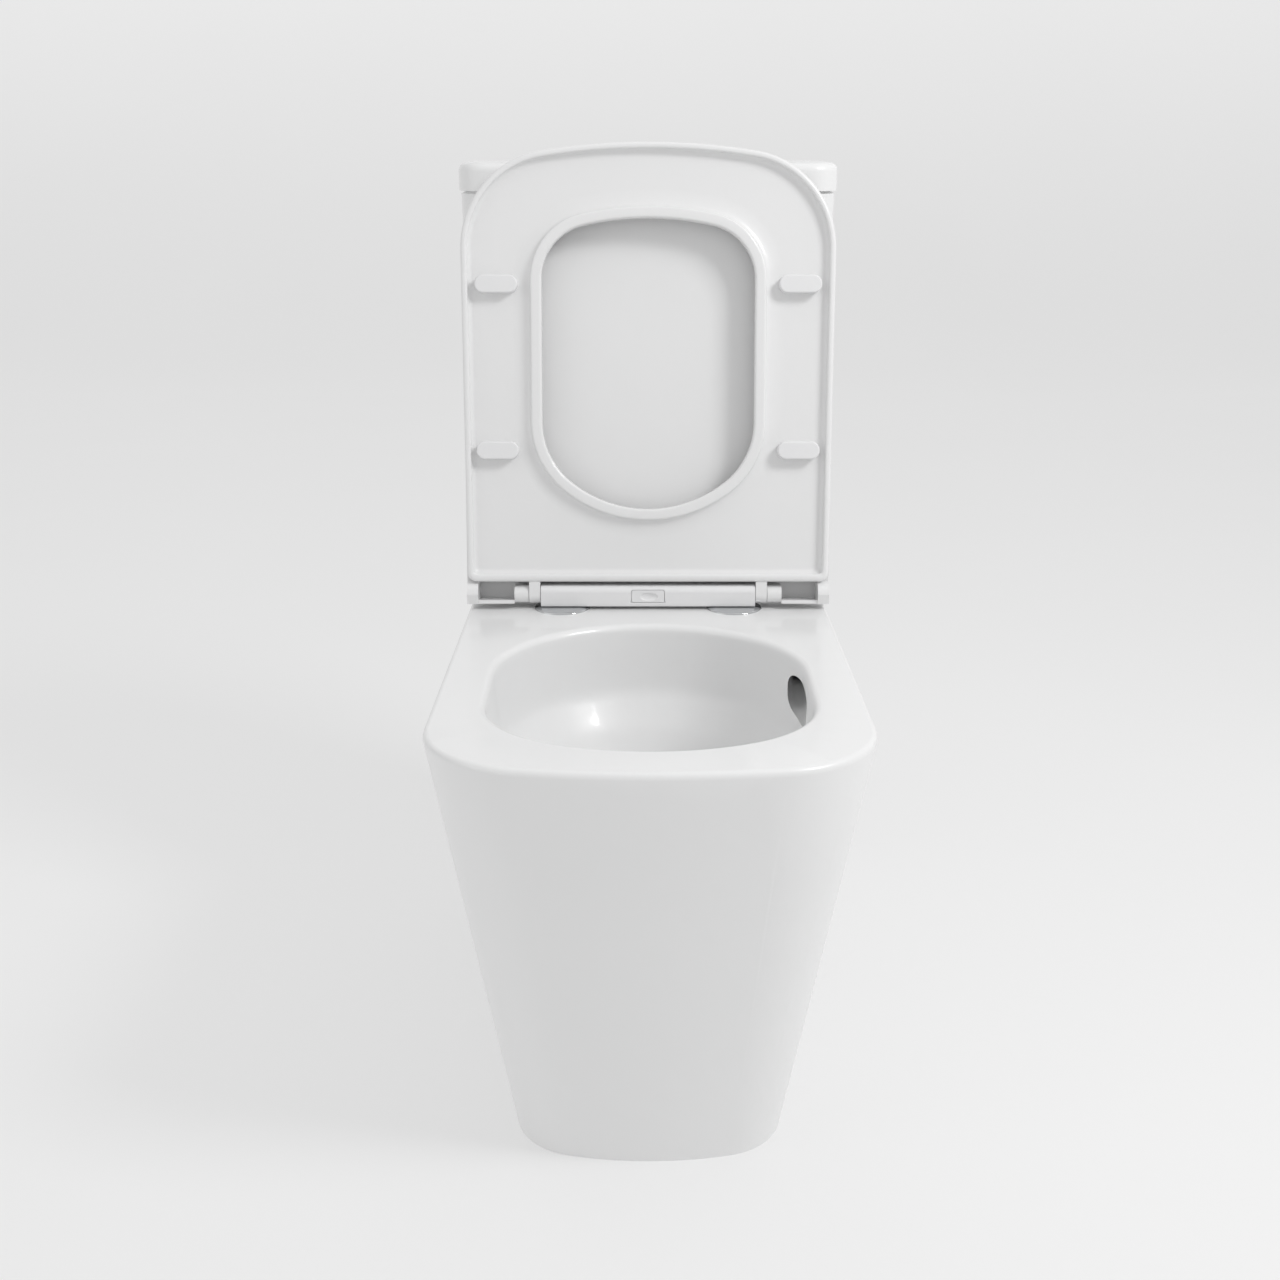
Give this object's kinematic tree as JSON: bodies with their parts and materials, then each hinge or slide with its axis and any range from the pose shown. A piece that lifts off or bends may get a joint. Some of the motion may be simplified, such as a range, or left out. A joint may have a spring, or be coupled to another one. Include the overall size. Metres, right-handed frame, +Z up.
{
  "type": "close coupled toilet",
  "caption": "Close coupled toilet: skirted pan with an open bowl and trap, cistern with a dual flush mechanism, and a hinged seat ring and lid that stand raised.",
  "frame": {"origin": "on the floor under the middle of the whole object's bounding box", "axes": "+Z up, +Y to the wall behind the cistern, the front of the pan faces -Y, +X to the right of someone who looks at the front"},
  "size_m": [0.373, 0.67, 0.8409],
  "materials": {
    "vitreous_china": "glazed gloss white",
    "seat_plastic": "gloss white thermoset",
    "hinge_plastic": "gloss white",
    "bright_chrome": "polished",
    "zinc_steel": "zinc plated",
    "nut_plastic": "moulded",
    "valve_plastic": "moulded",
    "valve_blue": "moulded",
    "black_rubber": "matt",
    "pad_rubber": "soft white",
    "foam_rubber": "closed cell foam"
  },
  "bodies": {
    "root": {"bezel_nut": "nut_plastic", "bolt_seals": "black_rubber", "bolt_washers": "zinc_steel", "button_bezel": "bright_chrome", "cistern_bolts": "zinc_steel", "cistern_lid": "vitreous_china", "cistern_tank": "vitreous_china", "coupling_seal": "foam_rubber", "cover_caps": "bright_chrome", "fill_valve_backnut": "nut_plastic", "fill_valve_body": "valve_plastic", "fill_valve_cap": "valve_blue", "fill_valve_washer": "black_rubber", "floor_brackets": "nut_plastic", "flush_valve_backnut": "nut_plastic", "flush_valve_seat": "valve_plastic", "flush_valve_tower": "valve_plastic", "flush_valve_washer": "black_rubber", "hinge_bar": "hinge_plastic", "hinge_pins": "zinc_steel", "hinge_rosettes": "bright_chrome", "lever_pin": "zinc_steel", "pan": "vitreous_china", "seat_bushes": "black_rubber", "seat_nuts": "nut_plastic", "seat_studs": "zinc_steel", "side_screws": "zinc_steel", "soft_close_dampers": "nut_plastic", "wing_nuts": "nut_plastic"},
    "lid_body": {"lid": "seat_plastic", "lid_bumpers": "pad_rubber"},
    "ring_body": {"seat_ring": "seat_plastic", "ring_bumpers": "pad_rubber"},
    "full_button_body": {"full_flush_button": "bright_chrome", "full_flush_push_rod": "valve_plastic"},
    "half_button_body": {"half_flush_button": "bright_chrome", "half_flush_push_rod": "valve_plastic"},
    "valve_body": {"overflow_tube": "valve_blue", "flush_valve_seal": "black_rubber"},
    "float_body": {"fill_valve_float": "valve_plastic"},
    "lever_body": {"fill_valve_lever": "valve_plastic"},
    "release_body": {"release_button": "hinge_plastic"}
  },
  "joints": [
    {"name": "lid_hinge", "type": "hinge", "parent": "root", "child": "lid_body", "pos_m": [0, 0.097, 0.414], "axis": [-1, 0, 0], "range_deg": [-100, 0]},
    {"name": "seat_hinge", "type": "hinge", "parent": "lid_body", "child": "ring_body", "pos_m": [0, 0.097, 0.414], "axis": [1, 0, 0], "range_deg": [0, 100]},
    {"name": "full_flush_press", "type": "slide", "parent": "root", "child": "full_button_body", "axis": [0, 0, -1], "range_m": [0, 0.006], "stiffness_N_per_m": 250, "springref_m": -0.004},
    {"name": "half_flush_press", "type": "slide", "parent": "root", "child": "half_button_body", "axis": [0, 0, -1], "range_m": [0, 0.006], "stiffness_N_per_m": 250, "springref_m": -0.004},
    {"name": "valve_lift", "type": "slide", "parent": "root", "child": "valve_body", "axis": [0, 0, 1], "range_m": [0, 0.009]},
    {"name": "float_slide", "type": "slide", "parent": "root", "child": "float_body", "axis": [0, 0, 1], "range_m": [0, 0.014]},
    {"name": "lever_pivot", "type": "hinge", "parent": "root", "child": "lever_body", "pos_m": [-0.104, 0.26625, 0.697], "axis": [0, -1, 0], "range_deg": [0, 12.1]},
    {"name": "release_press", "type": "slide", "parent": "root", "child": "release_body", "axis": [0, 1, 0], "range_m": [0, 0.0025], "stiffness_N_per_m": 400, "springref_m": -0.002}
  ],
  "couplings": [
    {"joint": "valve_lift", "follows": "full_flush_press", "ratio": 1.5},
    {"joint": "lever_pivot", "follows": "float_slide", "rad_per_m": 15}
  ]
}
